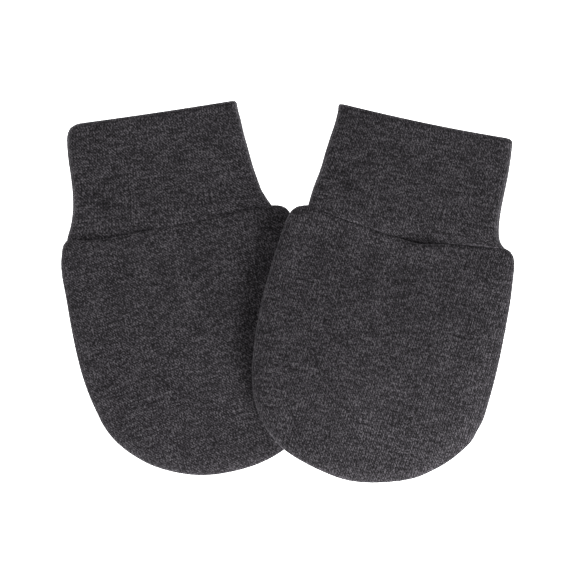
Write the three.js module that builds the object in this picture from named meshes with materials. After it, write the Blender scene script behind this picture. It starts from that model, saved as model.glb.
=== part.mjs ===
// A pair of baby mittens in heather knit, laid flat, the right mitten lying on the edge of the left one.
// Each mitten is a front and a back panel sewn round the hand, and a long cuff folded double at the wrist.
// Millimetres. +X goes across the pair, +Y from the finger ends to the wrists, +Z up from the surface.
// A mitten has its own frame. Its origin is the middle of the seam between body and cuff, "along" runs
// from there to the finger end, which is -Y, and "across" runs to the pair's right, which is +X.
import * as THREE from "three";
import { mergeVertices } from "three/addons/utils/BufferGeometryUtils.js";

// Cloth
const PANEL_WALL = 2.2; // body knit
const CUFF_WALL = 2.3; // cuff knit, folded double
const SEAM_GAP = 0.3; // between two pieces that are sewn to each other
const KNIT_COLOUR = 0x3b393c;
const KNIT_ROUGHNESS = 0.95;

// Body, measured up from the surface
const BODY_THICK = 5.6;
const EDGE_THICK = 5.2; // at the sewn edge, which is plump
const EDGE_ROUND = 2.6; // how far in from the outline the edge rounds off
const PUFF = 0.7; // how much the body swells where it rolls down to the seam
const PUFF_AT = 4.5; // distance of that swelling from the seam
const PUFF_REACH = 4;
const ROLL = 2.2; // width of the roll that drops to the seam
const SEAM_TOP = 4.0; // height of the cloth at the seam
const DOME_MARGIN = 8; // the soft rise over the hand stays this far clear of the sewn edge
const SEAM_UNDER = 0.5; // the underside's groove at the seam
const UNDER_REACH = 2;

// Cuff
const CUFF_THICK = 5.2;
const CUFF_DIP = 1.3; // the cuff dips by this much where the body rolls over it
const CUFF_DIP_REACH = 6;
const MOUTH_LIFT = 0.5; // the wrist opening gapes by this much
const MOUTH_REACH = 14;

// Where the right mitten lies on the left one
const LAP_TOP = 4.6; // the left mitten is pressed down to this height
const LAP_PRESS = 6; // over this distance in front of the right mitten's edge
const LAP_CLEAR = 0.3; // between the two mittens
const LAP_RAMP = 60; // the right mitten comes down to the surface over this distance
const EDGE_CURL = 1.2; // the lapping edge stands up by this much
const CURL_REACH = 9; // and settles over this distance in from it

// Mesh steps
const EDGE_STEPS = [0, 0.2, 0.75, 1.6, 2.6]; // distances in from the outline
const INNER_STEPS = 6; // columns between those and the middle line
const MOUTH_STEPS = [0, 0.5, 1.2, 2.2, 3.8, 6.4]; // distances along the outline from the seam's end
const SIDE_STEPS = 16; // further rows down to the finger end
const FAN_ALONG = 46; // from here on the rows turn round one middle point
const BOW_FADE = 12; // the seam's own curve fades out of the rows over this distance
const ROUND_STEPS = 4; // steps in a quarter round at a cuff's side
const CUFF_COLUMNS = 7;
const FOLD_STEPS = 4; // steps round the fold at the wrist
const CUFF_ROWS = [0, 0.07, 0.18, 0.34, 0.5, 0.65, 0.78, 0.87, 0.93, 0.97, 1]; // wrist to seam
const CUFF_INNER_ROWS = [1, 0.87, 0.65, 0.34, 0.1];
const OUTLINE_STEPS = 160;
const WELD = 1e-4;

// The seam line is a row for each place across. The shoulders are the outline's rounded ends above the
// sides, from the seam outwards, with across counted outwards. The sides are a row for each place along,
// with the half widths to the left and right. The dome is the cloth's soft rise over the hand. The cuff's
// rows are like the sides', in the cuff's own tilt, and the middle of its wrist edge sags to the seam.
const LEFT_MITTEN = {
  name: "left",
  origin: new THREE.Vector2(-33.6, 19.35),
  tilt: 12,
  cuffTilt: 8.4,
  seam: [
    { across: -32.5, along: -2.9 },
    { across: -26.5, along: -1.5 },
    { across: -19.5, along: -0.8 },
    { across: -8, along: -0.6 },
    { across: 6, along: -0.4 },
    { across: 17.5, along: -0.2 },
    { across: 29.6, along: -0.4 },
  ],
  shoulders: [
    { leftAcross: 34.0, leftAlong: -1.6, rightAcross: 32.0, rightAlong: 0.2 },
    { leftAcross: 35.0, leftAlong: 0.8, rightAcross: 33.8, rightAlong: 1.5 },
    { leftAcross: 35.8, leftAlong: 3.6, rightAcross: 34.7, rightAlong: 3.6 },
  ],
  sides: [
    { along: 7.2, left: 36.3, right: 35.3 },
    { along: 14.4, left: 36.5, right: 35.5 },
    { along: 21.6, left: 36.8, right: 35.5 },
    { along: 28.8, left: 36.9, right: 35.4 },
    { along: 36.0, left: 36.7, right: 35.3 },
    { along: 43.2, left: 35.9, right: 34.9 },
    { along: 50.4, left: 34.4, right: 33.8 },
    { along: 54.0, left: 33.4, right: 32.9 },
    { along: 57.6, left: 31.8, right: 31.6 },
    { along: 61.2, left: 29.4, right: 29.4 },
    { along: 64.8, left: 26.1, right: 26.5 },
    { along: 68.4, left: 21.8, right: 23.5 },
    { along: 72.0, left: 15.2, right: 18.2 },
    { along: 74.5, left: 7.6, right: 10.4 },
  ],
  dome: { across: -4, along: 36, wide: 40, long: 24, height: 0.8 },
  tip: { across: 1.0, along: 75.3 },
  wrist: -34.9,
  wristSag: 0.2,
  cuff: [
    { along: -34.9, left: 25.6, right: 23.9 },
    { along: -33.7, left: 27.2, right: 23.7 },
    { along: -31.8, left: 28.2, right: 23.8 },
    { along: -29.4, left: 28.6, right: 24.1 },
    { along: -24.6, left: 28.9, right: 24.5 },
    { along: -19.8, left: 28.9, right: 25.1 },
    { along: -15.0, left: 29.1, right: 25.7 },
    { along: -10.2, left: 29.7, right: 26.6 },
    { along: -7.8, left: 30.3, right: 27.1 },
    { along: -5.4, left: 31.0, right: 28.0 },
    { along: -2.3, left: 32.3, right: 29.5 },
    { along: -1.2, left: 32.7, right: 30.2 },
  ],
};

const RIGHT_MITTEN = {
  name: "right",
  origin: new THREE.Vector2(34.95, 18.45),
  tilt: -12.5,
  cuffTilt: -11.5,
  seam: [
    { across: -29.7, along: -0.9 },
    { across: -25.9, along: -0.3 },
    { across: -21.8, along: 0.5 },
    { across: -16.0, along: 1.3 },
    { across: -11.3, along: 1.7 },
    { across: -6.2, along: 2.4 },
    { across: -1.0, along: 2.9 },
    { across: 4.5, along: 3.2 },
    { across: 8.0, along: 2.7 },
    { across: 11.4, along: 1.9 },
    { across: 16.0, along: 0.9 },
    { across: 20.8, along: 0.3 },
    { across: 25.6, along: -0.2 },
    { across: 30.8, along: -1.1 },
  ],
  shoulders: [
    { leftAcross: 31.8, leftAlong: -0.2, rightAcross: 32.4, rightAlong: -0.6 },
    { leftAcross: 33.5, leftAlong: 0.9, rightAcross: 33.8, rightAlong: 0.9 },
    { leftAcross: 34.7, leftAlong: 3.0, rightAcross: 34.6, rightAlong: 3.2 },
  ],
  sides: [
    { along: 7.2, left: 35.4, right: 35.1 },
    { along: 14.4, left: 36.2, right: 35.8 },
    { along: 21.6, left: 36.7, right: 36.1 },
    { along: 28.8, left: 37.0, right: 36.3 },
    { along: 36.0, left: 36.9, right: 36.3 },
    { along: 43.2, left: 36.4, right: 36.0 },
    { along: 50.4, left: 35.4, right: 35.4 },
    { along: 54.0, left: 34.6, right: 34.4 },
    { along: 57.6, left: 33.5, right: 33.3 },
    { along: 61.2, left: 31.7, right: 30.9 },
    { along: 64.8, left: 29.2, right: 27.9 },
    { along: 68.4, left: 25.7, right: 23.9 },
    { along: 72.0, left: 20.3, right: 18.6 },
    { along: 75.6, left: 8.5, right: 7.8 },
  ],
  dome: { across: 2, along: 40, wide: 42, long: 26, height: 1.6 },
  tip: { across: -0.4, along: 76.6 },
  wrist: -33.1,
  wristSag: 0.5,
  cuff: [
    { along: -33.1, left: 27.2, right: 26.6 },
    { along: -31.8, left: 26.7, right: 26.8 },
    { along: -27.0, left: 26.8, right: 27.2 },
    { along: -22.2, left: 27.4, right: 27.4 },
    { along: -17.4, left: 27.9, right: 27.4 },
    { along: -12.6, left: 28.3, right: 27.4 },
    { along: -7.8, left: 29.1, right: 27.7 },
    { along: -5.4, left: 29.4, right: 28.1 },
    { along: -3.0, left: 29.6, right: 28.8 },
    { along: -1.4, left: 29.7, right: 29.9 },
    { along: -0.6, left: 29.8, right: 30.8 },
  ],
};

const { clamp, degToRad, lerp, smoothstep } = THREE.MathUtils;

// A table's columns as smooth functions of its place column
function columnsOf(rows, place, ...names) {
  const places = rows.map((row) => row[place]);
  const values = rows.flatMap((row) => names.map((name) => row[name]));
  return new THREE.CubicInterpolant(places, values, names.length);
}

// The height share of a quarter round at a distance in from its edge
function quarterRound(distance, width) {
  const out = 1 - clamp(distance / width, 0, 1);
  return Math.sqrt(1 - out * out);
}

// The distance from a point to a run of points
function distanceTo(points, across, along) {
  let nearest = Infinity;
  for (let i = 1; i < points.length; i++) {
    const { x, y } = points[i - 1];
    const runX = points[i].x - x;
    const runY = points[i].y - y;
    const reach = (across - x) * runX + (along - y) * runY;
    const share = clamp(reach / (runX * runX + runY * runY), 0, 1);
    nearest = Math.min(nearest, Math.hypot(x + share * runX - across, y + share * runY - along));
  }
  return nearest;
}

// The same distance from a closed outline, negative inside it
function distanceOutside(outline, x, y) {
  let inside = false;
  outline.forEach((a, i) => {
    const b = outline[(i + 1) % outline.length];
    const crosses = a.y > y !== b.y > y && x < a.x + ((y - a.y) / (b.y - a.y)) * (b.x - a.x);
    inside = crosses ? !inside : inside;
  });
  const distance = distanceTo([...outline, outline[0]], x, y);
  return inside ? -distance : distance;
}

// Outline of a body from the left end of the seam, round the finger end, to the right end
function outlineCurve({ seam, shoulders, sides, tip }) {
  const first = seam[0];
  const last = seam[seam.length - 1];
  const left = [
    [first.across, first.along],
    ...shoulders.map((row) => [-row.leftAcross, row.leftAlong]),
    ...sides.map((row) => [-row.left, row.along]),
  ];
  const right = [
    [last.across, last.along],
    ...shoulders.map((row) => [row.rightAcross, row.rightAlong]),
    ...sides.map((row) => [row.right, row.along]),
  ];
  const points = [...left, [tip.across, tip.along], ...right.reverse()];
  return new THREE.CatmullRomCurve3(
    points.map(([across, along]) => new THREE.Vector3(across, along, 0)),
    false,
    "centripetal",
  );
}

// A place in a tilted mitten's frame, on the surface
function onSurface(origin, tilt, across, along) {
  return new THREE.Vector2(across, -along).rotateAround(new THREE.Vector2(), degToRad(tilt)).add(origin);
}

function outlineOnSurface(mitten) {
  return outlineCurve(mitten)
    .getSpacedPoints(OUTLINE_STEPS)
    .map((point) => onSurface(mitten.origin, mitten.tilt, point.x, point.y));
}

const leftOutline = outlineOnSurface(LEFT_MITTEN);
const rightOutline = outlineOnSurface(RIGHT_MITTEN);

// How far a place on a mitten is raised: the right mitten lies on the left one and comes down beside it
function liftAt({ name }, place) {
  if (name === "left") return 0;
  const beside = distanceOutside(leftOutline, place.x, place.y);
  const inFromEdge = -distanceOutside(rightOutline, place.x, place.y);
  const curl = EDGE_CURL * (1 - smoothstep(inFromEdge, 0, CURL_REACH));
  return (LAP_TOP + LAP_CLEAR + curl) * (1 - smoothstep(beside, 0, LAP_RAMP));
}

// How far a place on a mitten is pressed down, from 0 to 1
function pressAt({ name }, place) {
  if (name === "right") return 0;
  return 1 - smoothstep(distanceOutside(rightOutline, place.x, place.y), 0, LAP_PRESS);
}

// Triangles joined into one closed surface, without those whose corners meet
function closedSurface(triangles) {
  const joined = mergeVertices(new THREE.BufferGeometry().setFromPoints(triangles.flat()), WELD);
  const corners = Array.from(joined.index.array);
  const kept = [];
  for (let i = 0; i < corners.length; i += 3) {
    const [a, b, c] = corners.slice(i, i + 3);
    if (a !== b && b !== c && c !== a) kept.push(a, b, c);
  }
  joined.setIndex(kept);
  joined.computeVertexNormals();
  return joined;
}

function quad(a, b, c, d) {
  return [
    [a, b, c],
    [a, c, d],
  ];
}

// A body's grid of places: rows from the outline in to the middle line, round from seam to seam
function bodyGrid(mitten) {
  const curve = outlineCurve(mitten);
  const seamAt = columnsOf(mitten.seam, "across", "along");
  const half = curve.getLength() / 2;
  const mouthEnd = MOUTH_STEPS[MOUTH_STEPS.length - 1];
  const stops = [...MOUTH_STEPS];
  for (let i = 1; i <= SIDE_STEPS; i++) stops.push(lerp(mouthEnd, half, i / SIDE_STEPS));
  const edges = stops.map((stop) => {
    const share = stop / (2 * half);
    return { left: curve.getPointAt(share), right: curve.getPointAt(1 - share) };
  });
  const { left: seamLeft, right: seamRight } = edges[0];
  const straight = (edge, across) => {
    const share = (across - edge.left.x) / Math.max(edge.right.x - edge.left.x, WELD);
    return lerp(edge.left.y, edge.right.y, clamp(share, 0, 1));
  };
  const bow = (across) => {
    const place = clamp(across, seamLeft.x, seamRight.x);
    return seamAt.evaluate(place)[0] - straight(edges[0], place);
  };
  const rowFrom = (edge, side) => {
    const outer = edge[side];
    const depth = (edge.left.y + edge.right.y) / 2;
    const fanned = depth > FAN_ALONG;
    const middle = fanned
      ? new THREE.Vector2(mitten.tip.across, FAN_ALONG)
      : new THREE.Vector2(lerp(edge.left.x, edge.right.x, 0.5), depth);
    const length = Math.hypot(middle.x - outer.x, middle.y - outer.y);
    const last = EDGE_STEPS[EDGE_STEPS.length - 1];
    const steps = [...EDGE_STEPS];
    for (let i = 1; i <= INNER_STEPS; i++) steps.push(lerp(last, length, i / INNER_STEPS));
    const fade = 1 - smoothstep(depth, 0, BOW_FADE);
    return steps.map((step) => {
      const across = lerp(outer.x, middle.x, step / length);
      const along = fanned ? lerp(outer.y, middle.y, step / length) : straight(edge, across);
      return new THREE.Vector2(across, along + (fanned ? 0 : fade * bow(across)));
    });
  };
  return [
    ...edges.map((edge) => rowFrom(edge, "left")),
    ...edges
      .slice(0, -1)
      .reverse()
      .map((edge) => rowFrom(edge, "right")),
  ];
}

// The cloth's heights at a place of a body, for both panels
function bodyHeights(mitten, place, fromSide, fromSeam) {
  const surface = onSurface(mitten.origin, mitten.tilt, place.x, place.y);
  const edge = quarterRound(fromSide, EDGE_ROUND);
  const puff = PUFF * Math.exp(-(((fromSeam - PUFF_AT) / PUFF_REACH) ** 2));
  const { dome } = mitten;
  const fromDome = Math.hypot((place.x - dome.across) / dome.wide, (place.y - dome.along) / dome.long);
  const rise = dome.height * Math.exp(-(fromDome ** 2)) * smoothstep(fromSide, 0, DOME_MARGIN);
  const free = lerp(SEAM_TOP, BODY_THICK + puff + rise, quarterRound(fromSeam, ROLL));
  const top = lerp(free, Math.min(free, LAP_TOP), pressAt(mitten, surface));
  const under = SEAM_UNDER * (1 - smoothstep(fromSeam, 0, UNDER_REACH));
  const frontSeam = (EDGE_THICK + SEAM_GAP) / 2;
  const backSeam = (EDGE_THICK - SEAM_GAP) / 2;
  const frontTop = lerp(frontSeam, top, edge);
  const backUnder = lerp(backSeam, under, edge);
  return {
    lift: liftAt(mitten, surface),
    frontTop,
    frontInside: Math.max(frontSeam, frontTop - PANEL_WALL),
    backInside: Math.min(backSeam, backUnder + PANEL_WALL),
    backUnder,
  };
}

// A panel is the cloth between an upper and a lower height, closed at the mouth by a strip
function panel(grid, heights, upper, lower) {
  const raised = (name) =>
    grid.map((row, j) =>
      row.map((place, k) => {
        const height = heights[j][k];
        return new THREE.Vector3(place.x, -place.y, height.lift + height[name]);
      }),
    );
  const over = raised(upper);
  const beneath = raised(lower);
  const triangles = [];
  for (let j = 1; j < grid.length; j++)
    for (let k = 1; k < grid[j].length; k++) {
      triangles.push(...quad(over[j - 1][k - 1], over[j][k - 1], over[j][k], over[j - 1][k]));
      triangles.push(...quad(beneath[j - 1][k - 1], beneath[j - 1][k], beneath[j][k], beneath[j][k - 1]));
    }
  const end = grid.length - 1;
  for (let k = 1; k < grid[0].length; k++) {
    triangles.push(...quad(over[0][k - 1], over[0][k], beneath[0][k], beneath[0][k - 1]));
    triangles.push(...quad(over[end][k], over[end][k - 1], beneath[end][k - 1], beneath[end][k]));
  }
  return closedSurface(triangles);
}

// Corners round a flattened tube, over the top and back underneath: a quarter round at each side's turn
// is an angle from the side, and the columns between are shares of the way across.
function tubeCorners() {
  const quarter = Array.from({ length: ROUND_STEPS }, (_, i) => (i * Math.PI) / 2 / ROUND_STEPS);
  const columns = Array.from({ length: CUFF_COLUMNS }, (_, i) => i / (CUFF_COLUMNS - 1));
  const top = [
    ...quarter.map((angle) => ({ share: 0, angle, up: 1 })),
    ...columns.map((share) => ({ share, angle: Math.PI / 2, up: 1 })),
    ...quarter.map((angle) => ({ share: 1, angle, up: 1 })).reverse(),
  ];
  const turned = top
    .slice(1, -1)
    .reverse()
    .map((corner) => ({ ...corner, up: -1 }));
  return [...top, ...turned];
}

// The cuff's rings: up the outside from the wrist to the seam, back inside, and round the fold
function cuffRings() {
  const fold = Array.from({ length: FOLD_STEPS - 1 }, (_, i) => (Math.PI * (i + 1)) / FOLD_STEPS);
  return [
    ...CUFF_ROWS.map((share) => ({ share, inwards: 0, beyond: 0 })),
    ...CUFF_INNER_ROWS.map((share) => ({ share, inwards: 1, beyond: 0 })),
    ...fold.reverse().map((angle) => ({
      share: 0,
      inwards: (1 - Math.cos(angle)) / 2,
      beyond: (Math.sin(angle) * CUFF_WALL) / 2,
    })),
  ];
}

function cuffGeometry(mitten) {
  const widths = columnsOf(mitten.cuff, "along", "left", "right");
  const turn = degToRad(mitten.tilt - mitten.cuffTilt);
  const seam = mitten.seam.map((row) => {
    const turned = new THREE.Vector2(row.across, -row.along).rotateAround(new THREE.Vector2(), turn);
    return { across: turned.x, along: -turned.y - SEAM_GAP };
  });
  const seamAt = columnsOf(seam, "across", "along");
  const middle = CUFF_THICK / 2;
  const start = mitten.wrist + CUFF_WALL / 2;
  const alongAt = (ring, across) => lerp(start, seamAt.evaluate(across)[0], ring.share) - ring.beyond;
  const sideAt = (ring, seamEnd, column) => {
    const along = lerp(start, seamEnd.along, ring.share) - ring.beyond;
    return widths.evaluate(along)[column] - ring.inwards * CUFF_WALL;
  };
  const corner = (ring, { share, angle, up }) => {
    const round = middle - ring.inwards * CUFF_WALL;
    const inset = round * (1 - Math.cos(angle));
    const left = round - sideAt(ring, seam[0], 0);
    const right = sideAt(ring, seam[seam.length - 1], 1) - round;
    const side = share < 0.5 ? -1 : 1;
    const across = lerp(left, right, share) + side * (round - inset);
    const open = 1 - (2 * share - 1) ** 2;
    const sag = mitten.wristSag * open * (1 - ring.share);
    const along = alongAt(ring, across) + sag;
    const surface = onSurface(mitten.origin, mitten.cuffTilt, across, along);
    const mouth = MOUTH_LIFT * open * (1 - smoothstep(along - mitten.wrist, 0, MOUTH_REACH));
    const toSeam = seamAt.evaluate(across)[0] - along;
    const dip = (1 - ring.inwards) * (1 - smoothstep(toSeam, 0, CUFF_DIP_REACH));
    const reach = up > 0 ? round + mouth - CUFF_DIP * dip : round - SEAM_UNDER * dip;
    const height = middle + up * reach * Math.sin(angle) + liftAt(mitten, surface);
    return new THREE.Vector3(across, -along, height);
  };
  const corners = tubeCorners();
  const rings = cuffRings().map((ring) => corners.map((place) => corner(ring, place)));
  const triangles = rings.flatMap((ring, i) => {
    const next = rings[(i + 1) % rings.length];
    return ring.flatMap((_, j) => {
      const k = (j + 1) % ring.length;
      return quad(ring[j], next[j], next[k], ring[k]);
    });
  });
  return closedSurface(triangles);
}

function knitMesh(name, geometry) {
  const material = new THREE.MeshStandardMaterial({
    color: KNIT_COLOUR,
    roughness: KNIT_ROUGHNESS,
    metalness: 0,
  });
  const mesh = new THREE.Mesh(geometry, material);
  mesh.name = name;
  return mesh;
}

function mittenGroup(mitten) {
  const grid = bodyGrid(mitten);
  const sides = outlineCurve(mitten).getSpacedPoints(OUTLINE_STEPS);
  const seam = mitten.seam.map((row) => new THREE.Vector2(row.across, row.along));
  const heights = grid.map((row) =>
    row.map((place, column) => {
      const fromSide = column === 0 ? 0 : distanceTo(sides, place.x, place.y);
      return bodyHeights(mitten, place, fromSide, distanceTo(seam, place.x, place.y));
    }),
  );
  const cuff = knitMesh(`${mitten.name}_cuff`, cuffGeometry(mitten));
  cuff.rotation.z = degToRad(mitten.cuffTilt - mitten.tilt);
  const group = new THREE.Group();
  group.add(
    knitMesh(`${mitten.name}_front`, panel(grid, heights, "frontTop", "frontInside")),
    knitMesh(`${mitten.name}_back`, panel(grid, heights, "backInside", "backUnder")),
    cuff,
  );
  group.position.set(mitten.origin.x, mitten.origin.y, 0);
  group.rotation.z = degToRad(mitten.tilt);
  return group;
}

const group = new THREE.Group();
group.add(mittenGroup(LEFT_MITTEN), mittenGroup(RIGHT_MITTEN));

export default group;
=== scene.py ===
"""A pair of baby mittens in charcoal heather knit, laid flat, the right one lying on the edge of the left.

Each mitten is a front and a back panel sewn round the hand and a long cuff folded double at the wrist.
Every panel and cuff here is a thin closed shell of cloth on its solid's form, with the roll of the body over
the cuff, soft folds, and a knit that follows the grain. Sizes inside the script are in millimetres.
"""

import math
from collections import namedtuple

import bpy
import numpy as np
from bpy.props import FloatProperty, FloatVectorProperty, IntProperty, PointerProperty
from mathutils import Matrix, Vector


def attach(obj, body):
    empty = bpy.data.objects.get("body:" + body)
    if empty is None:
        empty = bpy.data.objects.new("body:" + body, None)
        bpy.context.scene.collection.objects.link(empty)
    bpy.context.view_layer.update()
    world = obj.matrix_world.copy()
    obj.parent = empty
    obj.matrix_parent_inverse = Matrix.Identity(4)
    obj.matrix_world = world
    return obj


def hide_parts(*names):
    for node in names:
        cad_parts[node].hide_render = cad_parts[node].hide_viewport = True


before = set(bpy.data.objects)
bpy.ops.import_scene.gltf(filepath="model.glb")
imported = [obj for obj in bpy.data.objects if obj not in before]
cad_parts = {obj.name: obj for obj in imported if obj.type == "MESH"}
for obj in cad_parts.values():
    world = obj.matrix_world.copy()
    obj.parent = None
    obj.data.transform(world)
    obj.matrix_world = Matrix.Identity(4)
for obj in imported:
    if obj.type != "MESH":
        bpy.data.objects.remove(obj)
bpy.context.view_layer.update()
MM = 0.001

bl_info = {
    "name": "Baby mittens in heather knit",
    "version": (1, 0, 0),
    "blender": (4, 5, 0),
    "location": "3D View > Sidebar > Mittens",
    "description": "Builds a pair of knit baby mittens, their seams and a plain stage",
    "category": "Object",
}

# A mitten's own frame has its origin at the middle of the seam between body and cuff. Along runs from
# there to the finger end, and across runs to the pair's right. Depth is how deep the seam's groove is,
# as a share of its full depth.
Seam = namedtuple("Seam", "across along depth")
Shoulder = namedtuple("Shoulder", "left_across left_along right_across right_along")
Width = namedtuple("Width", "along left right")
# A soft ridge, or a trough where its height is negative: turn is its angle from the across direction.
Fold = namedtuple("Fold", "across along turn length width height")

LEFT_MITTEN = {
    "name": "left",
    "origin": (-33.6, 19.35),
    "tilt": 12.0,
    "cuff_tilt": 8.4,
    "grain_tilt": -4.5,
    "cuff_stretch": 1.06,
    "seam": (
        Seam(-32.5, -2.9, 0.3),
        Seam(-26.5, -1.5, 0.42),
        Seam(-19.5, -0.8, 0.44),
        Seam(-8.0, -0.6, 0.34),
        Seam(6.0, -0.4, 0.14),
        Seam(17.5, -0.2, 0.34),
        Seam(23.0, -0.3, 0.4),
        Seam(29.6, -0.4, 0.3),
    ),
    "shoulders": (
        Shoulder(34.0, -1.6, 32.0, 0.2),
        Shoulder(35.0, 0.8, 33.8, 1.5),
        Shoulder(35.8, 3.6, 34.7, 3.6),
    ),
    "sides": (
        Width(7.2, 36.3, 35.3),
        Width(14.4, 36.5, 35.5),
        Width(21.6, 36.8, 35.5),
        Width(28.8, 36.9, 35.4),
        Width(36.0, 36.7, 35.3),
        Width(43.2, 35.9, 34.9),
        Width(50.4, 34.4, 33.8),
        Width(54.0, 33.4, 32.9),
        Width(57.6, 31.8, 31.6),
        Width(61.2, 29.4, 29.4),
        Width(64.8, 26.1, 26.5),
        Width(68.4, 21.8, 23.5),
        Width(72.0, 15.2, 18.2),
        Width(74.5, 7.6, 10.4),
    ),
    "tip": (1.0, 75.3),
    "wrist": -34.9,
    "wrist_sag": 0.2,
    "cuff": (
        Width(-34.9, 25.6, 23.9),
        Width(-33.7, 27.2, 23.7),
        Width(-31.8, 28.2, 23.8),
        Width(-29.4, 28.6, 24.1),
        Width(-24.6, 28.9, 24.5),
        Width(-19.8, 28.9, 25.1),
        Width(-15.0, 29.1, 25.7),
        Width(-10.2, 29.7, 26.6),
        Width(-7.8, 30.3, 27.1),
        Width(-5.4, 31.0, 28.0),
        Width(-2.3, 32.3, 29.5),
        Width(-1.2, 32.7, 30.2),
        Width(0.4, 33.0, 30.6),
    ),
    "dome": Fold(-4.0, 36.0, 0.0, 40.0, 24.0, 0.8),
    "body_folds": (
        Fold(-14.0, 15.0, 12.0, 16.0, 6.0, 0.35),
        Fold(10.0, 24.0, -18.0, 18.0, 7.0, -0.3),
        Fold(-16.0, 40.0, 24.0, 20.0, 6.5, -0.25),
        Fold(4.0, 52.0, -8.0, 18.0, 8.0, 0.3),
        Fold(-20.0, 8.0, 70.0, 7.0, 3.0, -0.22),
        Fold(-3.0, 7.0, 96.0, 6.0, 2.4, -0.18),
        Fold(13.0, 7.5, 84.0, 7.0, 3.0, -0.2),
    ),
    "cuff_folds": (
        Fold(0.0, -4.0, 0.0, 40.0, 9.0, 0.5),
        Fold(-6.0, -14.0, 10.0, 18.0, 4.0, -0.22),
        Fold(12.0, -9.0, -14.0, 12.0, 4.0, -0.35),
        Fold(-14.0, -24.0, 6.0, 14.0, 5.0, 0.25),
        Fold(10.0, -26.0, 70.0, 9.0, 4.0, 0.2),
    ),
}

RIGHT_MITTEN = {
    "name": "right",
    "origin": (34.95, 18.45),
    "tilt": -12.5,
    "cuff_tilt": -11.5,
    "grain_tilt": 2.0,
    "cuff_stretch": 0.97,
    "seam": (
        Seam(-29.7, -0.9, 0.04),
        Seam(-25.9, -0.3, 0.02),
        Seam(-21.8, 0.5, 0.08),
        Seam(-16.0, 1.3, 0.14),
        Seam(-11.3, 1.7, 0.22),
        Seam(-6.2, 2.4, 0.26),
        Seam(-1.0, 2.9, 0.5),
        Seam(4.5, 3.2, 1.1),
        Seam(8.0, 2.7, 0.95),
        Seam(11.4, 1.9, 0.48),
        Seam(16.0, 0.9, 0.26),
        Seam(20.8, 0.3, 0.1),
        Seam(25.6, -0.2, 0.1),
        Seam(30.8, -1.1, 0.12),
    ),
    "shoulders": (
        Shoulder(31.8, -0.2, 32.4, -0.6),
        Shoulder(33.5, 0.9, 33.8, 0.9),
        Shoulder(34.7, 3.0, 34.6, 3.2),
    ),
    "sides": (
        Width(7.2, 35.4, 35.1),
        Width(14.4, 36.2, 35.8),
        Width(21.6, 36.7, 36.1),
        Width(28.8, 37.0, 36.3),
        Width(36.0, 36.9, 36.3),
        Width(43.2, 36.4, 36.0),
        Width(50.4, 35.4, 35.4),
        Width(54.0, 34.6, 34.4),
        Width(57.6, 33.5, 33.3),
        Width(61.2, 31.7, 30.9),
        Width(64.8, 29.2, 27.9),
        Width(68.4, 25.7, 23.9),
        Width(72.0, 20.3, 18.6),
        Width(75.6, 8.5, 7.8),
    ),
    "tip": (-0.4, 76.6),
    "wrist": -33.1,
    "wrist_sag": 0.5,
    "cuff": (
        Width(-33.1, 27.2, 26.6),
        Width(-31.8, 26.7, 26.8),
        Width(-27.0, 26.8, 27.2),
        Width(-22.2, 27.4, 27.4),
        Width(-17.4, 27.9, 27.4),
        Width(-12.6, 28.3, 27.4),
        Width(-7.8, 29.1, 27.7),
        Width(-5.4, 29.4, 28.1),
        Width(-3.0, 29.6, 28.8),
        Width(-1.4, 29.7, 29.9),
        Width(-0.6, 29.8, 30.8),
        Width(1.0, 30.0, 31.2),
    ),
    "dome": Fold(2.0, 43.0, 0.0, 42.0, 26.0, 2.5),
    "body_folds": (
        Fold(-6.0, 22.0, 8.0, 24.0, 9.0, 0.3),
        Fold(-14.0, 7.0, 14.0, 14.0, 5.0, -0.35),
        Fold(8.0, 9.0, -20.0, 12.0, 5.0, -0.3),
        Fold(26.0, 9.0, 30.0, 7.0, 5.0, 0.5),
        Fold(14.0, 38.0, 28.0, 18.0, 7.0, -0.3),
        Fold(-10.0, 52.0, -16.0, 16.0, 8.0, 0.25),
        Fold(4.5, 7.0, 92.0, 6.0, 2.6, -0.3),
        Fold(18.0, 6.0, 80.0, 6.0, 2.6, -0.18),
    ),
    "cuff_folds": (
        Fold(0.0, -4.0, 0.0, 36.0, 12.0, 0.75),
        Fold(4.0, -6.0, 4.0, 10.0, 4.5, -0.5),
        Fold(14.0, -20.0, -24.0, 14.0, 5.0, -0.25),
        Fold(-12.0, -18.0, 16.0, 14.0, 5.0, 0.25),
        Fold(-8.0, -27.0, 80.0, 8.0, 4.0, 0.18),
    ),
}
PAIR = (LEFT_MITTEN, RIGHT_MITTEN)

# Soft round lights low round the pair, in metres: the main one stands by the finger ends.
Lamp = namedtuple("Lamp", "name power place width")
LAMPS = (
    Lamp("Key light", 4.3, (0.19, -0.41, 0.16), 0.26),
    Lamp("Left light", 2.3, (-0.85, 0.05, 0.26), 0.5),
    Lamp("Back light", 1.8, (-0.20, 0.83, 0.28), 0.5),
)
FLOOR_REACH = 6.0  # metres from the middle to the floor's sides
FLOOR_DROP = 0.00005  # metres that the floor lies below the pair's underside

# The photograph is this many pixels wide, at this many millimetres a pixel where the cloth is this high,
# and its middle lies just off the pair's.
PHOTO_WIDTH = 573
PIXEL = 0.30
SEEN_HEIGHT = 2.6
PHOTO_MIDDLE = (-0.3, 1.5)

# Grid steps of the finished cloth
ROW_STEP = 0.75
COLUMN_STEP = 0.85
ROUND_TURNS = 9  # steps in the plump edge's round
ROLL_STEPS = 12  # rows across the roll at the mouth
TUCK_STEPS = 3  # rows tucked under the roll
FAN_ALONG = 46.0  # from here on the rows turn round one middle place
BOW_FADE = 12.0  # the seam's own curve fades out of the rows over this distance
LINING_ROLL_ROWS = 6
ROLL_BUNCH = 1.6  # the roll's rows crowd towards the mouth by this power
SEAM_PLACES = 80
CUFF_STEP = 0.8
FOLD_TURNS = 8
RING_BUNCH = 0.92  # the cuff's rings crowd a little towards the seam by this power
WELD = 0.0005  # corners nearer than this are one

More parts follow.
